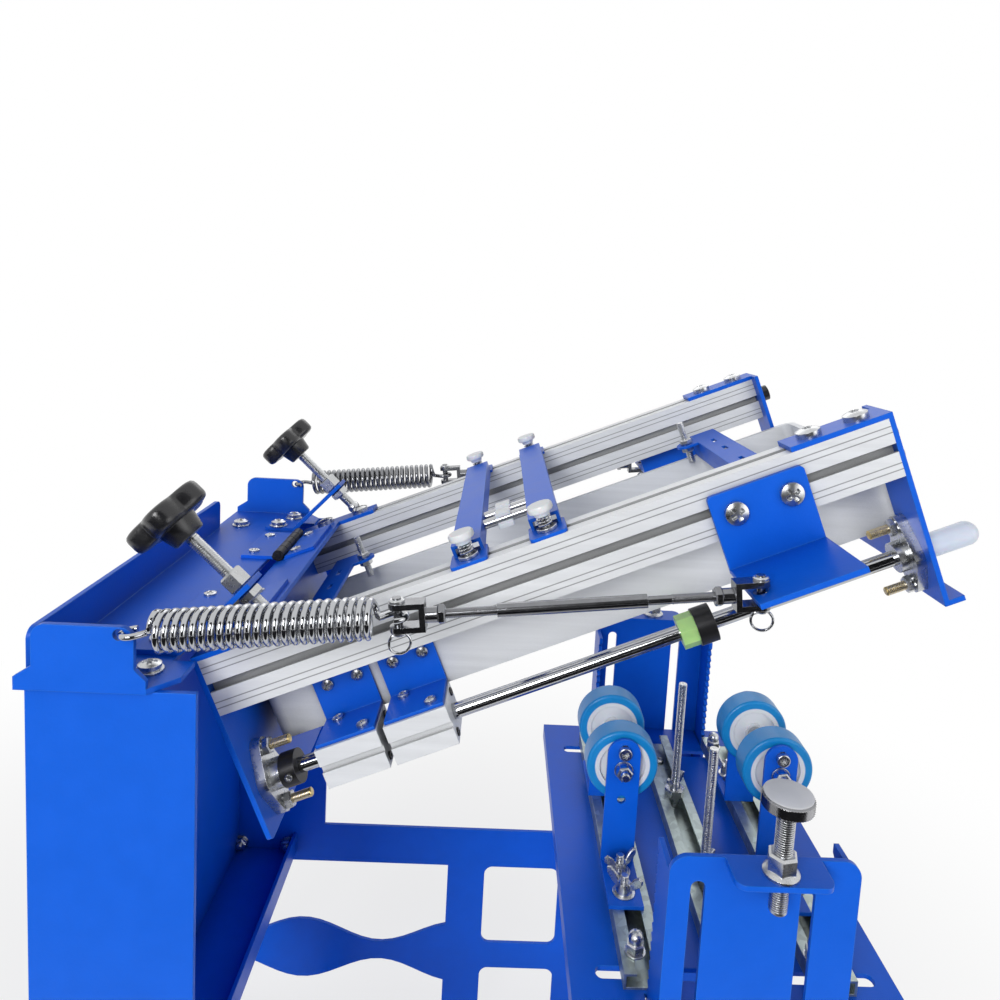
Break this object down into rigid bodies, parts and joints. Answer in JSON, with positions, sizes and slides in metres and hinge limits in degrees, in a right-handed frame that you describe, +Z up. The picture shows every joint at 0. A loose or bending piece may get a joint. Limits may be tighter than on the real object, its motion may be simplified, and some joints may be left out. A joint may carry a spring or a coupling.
{
  "type": "bottle screen printing machine",
  "caption": "Hand screen printing machine for bottles: a spring-balanced lifting arm carries a sliding screen over a roller table on a blue sheet steel stand.",
  "frame": {"origin": "on the bench, on the machine's middle plane, below the column's front edge", "axes": "+X from the column towards the handles, +Y across the machine away from the picture's viewer, +Z up"},
  "size_m": [0.5815, 0.365, 0.6959],
  "materials": {
    "blue_paint": "royal blue powder coat",
    "steel": "zinc plated steel",
    "chrome": "polished hard chrome",
    "aluminium": "natural anodised",
    "black_plastic": "glass filled nylon",
    "black_steel": "black oxide",
    "white_plastic": "nylon",
    "clear_green": "polyurethane",
    "azure_tread": "polyurethane",
    "mesh": "monofilament polyester screen cloth"
  },
  "bodies": {
    "base": {"near_side_plate": "blue_paint", "far_side_plate": "blue_paint", "column_back_panel": "blue_paint", "column_tray": "blue_paint", "base_ties": "blue_paint", "near_upright": "blue_paint", "far_upright": "blue_paint", "rest_screws": "steel", "table_plate": "blue_paint", "table_rails": "steel", "wheel_brackets": "blue_paint", "stop_rods": "steel", "stop_bracket": "blue_paint", "stop_screws": "steel", "star_knobs": "black_plastic", "hinge_fixed_leaves": "black_steel"},
    "near_left_roller": {"near_left_wheel": "azure_tread"},
    "near_right_roller": {"near_right_wheel": "azure_tread"},
    "far_left_roller": {"far_left_wheel": "azure_tread"},
    "far_right_roller": {"far_right_wheel": "azure_tread"},
    "arm": {"hinge_moving_leaves": "black_steel", "near_extrusion": "aluminium", "far_extrusion": "aluminium", "left_end_plate": "blue_paint", "right_end_plate": "blue_paint", "guide_shafts": "chrome", "shaft_bearings": "chrome", "shaft_collars": "black_steel", "travel_cushions": "clear_green", "handles": "white_plastic", "spring_brackets": "blue_paint", "squeegee_bars": "blue_paint", "thumb_screws": "white_plastic", "squeegee_rods": "chrome"},
    "carriage": {"sliding_blocks": "aluminium", "block_plates": "blue_paint", "screen_frame": "aluminium", "screen_mesh": "mesh", "screen_cross_plates": "blue_paint", "levelling_screws": "steel"},
    "near_spring_link": {"near_spring": "chrome"},
    "near_rod_link": {"near_tie_rod": "chrome"},
    "far_spring_link": {"far_spring": "chrome"},
    "far_rod_link": {"far_tie_rod": "chrome"}
  },
  "joints": [
    {"name": "lift", "type": "hinge", "parent": "base", "child": "arm", "pos_m": [-0.016, 0, 0.543], "axis": [0, -1, 0], "range_deg": [-19, 0], "stiffness_Nm_per_rad": 30, "springref_deg": 34.38},
    {"name": "screen_slide", "type": "slide", "parent": "arm", "child": "carriage", "axis": [0.9225, 0, 0.3859], "range_m": [0, 0.136]},
    {"name": "near_left_spin", "type": "hinge", "parent": "base", "child": "near_left_roller", "pos_m": [0.246, -0.025, 0.427], "axis": [0, 1, 0], "continuous": true},
    {"name": "near_right_spin", "type": "hinge", "parent": "base", "child": "near_right_roller", "pos_m": [0.356, -0.025, 0.427], "axis": [0, 1, 0], "continuous": true},
    {"name": "far_left_spin", "type": "hinge", "parent": "base", "child": "far_left_roller", "pos_m": [0.246, 0.025, 0.427], "axis": [0, 1, 0], "continuous": true},
    {"name": "far_right_spin", "type": "hinge", "parent": "base", "child": "far_right_roller", "pos_m": [0.356, 0.025, 0.427], "axis": [0, 1, 0], "continuous": true},
    {"name": "near_spring_swing", "type": "hinge", "parent": "base", "child": "near_spring_link", "pos_m": [-0.0375, -0.1635, 0.568], "axis": [0, -1, 0], "range_deg": [-18.3, 0.5]},
    {"name": "near_rod_pull", "type": "slide", "parent": "near_spring_link", "child": "near_rod_link", "axis": [0.9938, 0, 0.111], "range_m": [-0.0005, 0.0115], "deforming": ["near_spring"]},
    {"name": "far_spring_swing", "type": "hinge", "parent": "base", "child": "far_spring_link", "pos_m": [-0.0375, 0.1635, 0.568], "axis": [0, -1, 0], "range_deg": [-18.3, 0.5]},
    {"name": "far_rod_pull", "type": "slide", "parent": "far_spring_link", "child": "far_rod_link", "axis": [0.9938, 0, 0.111], "range_m": [-0.0005, 0.0115], "deforming": ["far_spring"]}
  ],
  "couplings": [
    {"joint": "near_spring_swing", "follows": "lift", "ratio": 0.9339},
    {"joint": "far_spring_swing", "follows": "lift", "ratio": 0.9339},
    {"joint": "near_rod_pull", "follows": "lift", "m_per_rad": -0.02479},
    {"joint": "far_rod_pull", "follows": "lift", "m_per_rad": -0.02479}
  ]
}
